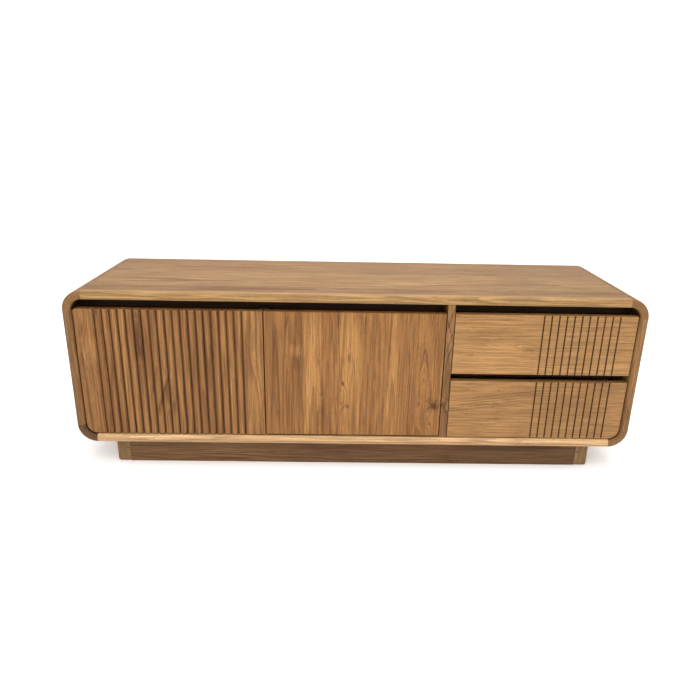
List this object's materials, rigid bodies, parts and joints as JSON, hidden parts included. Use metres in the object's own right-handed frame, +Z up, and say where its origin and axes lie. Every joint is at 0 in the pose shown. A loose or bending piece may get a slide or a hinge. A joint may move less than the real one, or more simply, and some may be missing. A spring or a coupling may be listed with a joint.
{
  "type": "media cabinet",
  "caption": "Low rounded wooden media cabinet on a pegged plinth, with a ribbed door, a plain door and reeded drawers behind inset fronts.",
  "frame": {"origin": "on the floor, under the middle of the shell's footprint", "axes": "+Z up, +X to the right seen from the front, front towards -Y"},
  "size_m": [1.6, 0.45, 0.53],
  "materials": {
    "teak_shell": "oiled, satin",
    "teak_dark_block": "oiled, satin",
    "teak_ribbed_door": "oiled, satin",
    "teak_plain_door": "oiled, satin",
    "teak_drawer_front": "oiled, satin",
    "teak_plinth_post": "oiled, satin",
    "teak_plinth_rail": "oiled, satin",
    "teak_inside": "oiled, matt",
    "pale_secondary_wood": "planed, matt",
    "veneered_panel": "veneered, matt",
    "plywood_tongue": "sawn",
    "peg_wood": "end grain, oiled",
    "hinge_steel": "nickel plated",
    "runner_steel": "zinc plated",
    "screw_steel": "zinc plated",
    "catch_plastic": "moulded, matt",
    "catch_steel": "plated"
  },
  "bodies": {
    "case": {"top_panel": "teak_shell", "bottom_panel": "teak_shell", "left_side_panel": "teak_shell", "right_side_panel": "teak_shell", "corner_top_left": "teak_shell", "corner_top_right": "teak_shell", "corner_bottom_right": "teak_shell", "corner_bottom_left": "teak_dark_block", "plinth_front_posts": "teak_plinth_post", "plinth_back_posts": "teak_plinth_post", "plinth_front_rail": "teak_plinth_rail", "plinth_back_rail": "teak_plinth_rail", "plinth_side_rails": "teak_plinth_rail", "plinth_brace": "teak_plinth_rail", "divider": "teak_inside", "shelf": "teak_inside", "door_top_rail": "teak_inside", "drawer_top_rail": "teak_inside", "drawer_mid_rail": "teak_inside", "back_battens": "pale_secondary_wood", "plinth_cleats": "pale_secondary_wood", "back_panel": "veneered_panel", "corner_splines": "plywood_tongue", "plinth_pegs": "peg_wood", "hinge_arms": "hinge_steel", "hinge_plates": "hinge_steel", "runner_fixed_members": "runner_steel", "back_panel_screws": "screw_steel", "plinth_screws": "screw_steel", "hinge_plate_screws": "screw_steel", "runner_screws": "screw_steel", "shelf_pins": "screw_steel", "magnetic_catch": "catch_plastic"},
    "left_door": {"left_door": "teak_ribbed_door", "left_hinge_cups": "hinge_steel", "left_cup_screws": "screw_steel", "left_catch_plate": "catch_steel"},
    "right_door": {"right_door": "teak_plain_door", "right_hinge_cups": "hinge_steel", "right_cup_screws": "screw_steel", "right_catch_plate": "catch_steel"},
    "left_case_links": {"left_hinge_case_links": "hinge_steel"},
    "left_door_links": {"left_hinge_door_links": "hinge_steel"},
    "right_case_links": {"right_hinge_case_links": "hinge_steel"},
    "right_door_links": {"right_hinge_door_links": "hinge_steel"},
    "upper_drawer": {"upper_drawer_front": "teak_drawer_front", "upper_drawer_sides": "pale_secondary_wood", "upper_drawer_back": "pale_secondary_wood", "upper_drawer_bottom": "veneered_panel", "upper_runner_inners": "runner_steel"},
    "lower_drawer": {"lower_drawer_front": "teak_drawer_front", "lower_drawer_sides": "pale_secondary_wood", "lower_drawer_back": "pale_secondary_wood", "lower_drawer_bottom": "veneered_panel", "lower_runner_inners": "runner_steel"},
    "upper_runner_middles": {"upper_runner_middles": "runner_steel"},
    "lower_runner_middles": {"lower_runner_middles": "runner_steel"}
  },
  "joints": [
    {"name": "left_door_swing", "type": "hinge", "parent": "case", "child": "left_door", "pos_m": [-0.7745, -0.219, 0.29], "axis": [0, 0, -1], "range_deg": [0, 92]},
    {"name": "left_case_link_turn", "type": "hinge", "parent": "case", "child": "left_case_links", "pos_m": [-0.75948, -0.19075, 0.29], "axis": [0, 0, -1], "range_deg": [0, 92]},
    {"name": "left_door_link_turn", "type": "hinge", "parent": "left_door", "child": "left_door_links", "pos_m": [-0.7455, -0.203, 0.29], "axis": [0, 0, -1], "range_deg": [-92, 0]},
    {"name": "right_door_swing", "type": "hinge", "parent": "case", "child": "right_door", "pos_m": [0.2445, -0.219, 0.29], "axis": [0, 0, 1], "range_deg": [0, 92]},
    {"name": "right_case_link_turn", "type": "hinge", "parent": "case", "child": "right_case_links", "pos_m": [0.22948, -0.19075, 0.29], "axis": [0, 0, 1], "range_deg": [0, 92]},
    {"name": "right_door_link_turn", "type": "hinge", "parent": "right_door", "child": "right_door_links", "pos_m": [0.2155, -0.203, 0.29], "axis": [0, 0, 1], "range_deg": [-92, 0]},
    {"name": "upper_drawer_slide", "type": "slide", "parent": "case", "child": "upper_drawer", "axis": [0, -1, 0], "range_m": [0, 0.34]},
    {"name": "upper_runner_middle_slide", "type": "slide", "parent": "case", "child": "upper_runner_middles", "axis": [0, -1, 0], "range_m": [0, 0.17]},
    {"name": "lower_drawer_slide", "type": "slide", "parent": "case", "child": "lower_drawer", "axis": [0, -1, 0], "range_m": [0, 0.34]},
    {"name": "lower_runner_middle_slide", "type": "slide", "parent": "case", "child": "lower_runner_middles", "axis": [0, -1, 0], "range_m": [0, 0.17]}
  ],
  "couplings": [
    {"joint": "left_case_link_turn", "follows": "left_door_swing", "ratio": 1},
    {"joint": "left_door_link_turn", "follows": "left_door_swing", "ratio": -1},
    {"joint": "right_case_link_turn", "follows": "right_door_swing", "ratio": 1},
    {"joint": "right_door_link_turn", "follows": "right_door_swing", "ratio": -1},
    {"joint": "upper_runner_middle_slide", "follows": "upper_drawer_slide", "ratio": 0.5},
    {"joint": "lower_runner_middle_slide", "follows": "lower_drawer_slide", "ratio": 0.5}
  ]
}
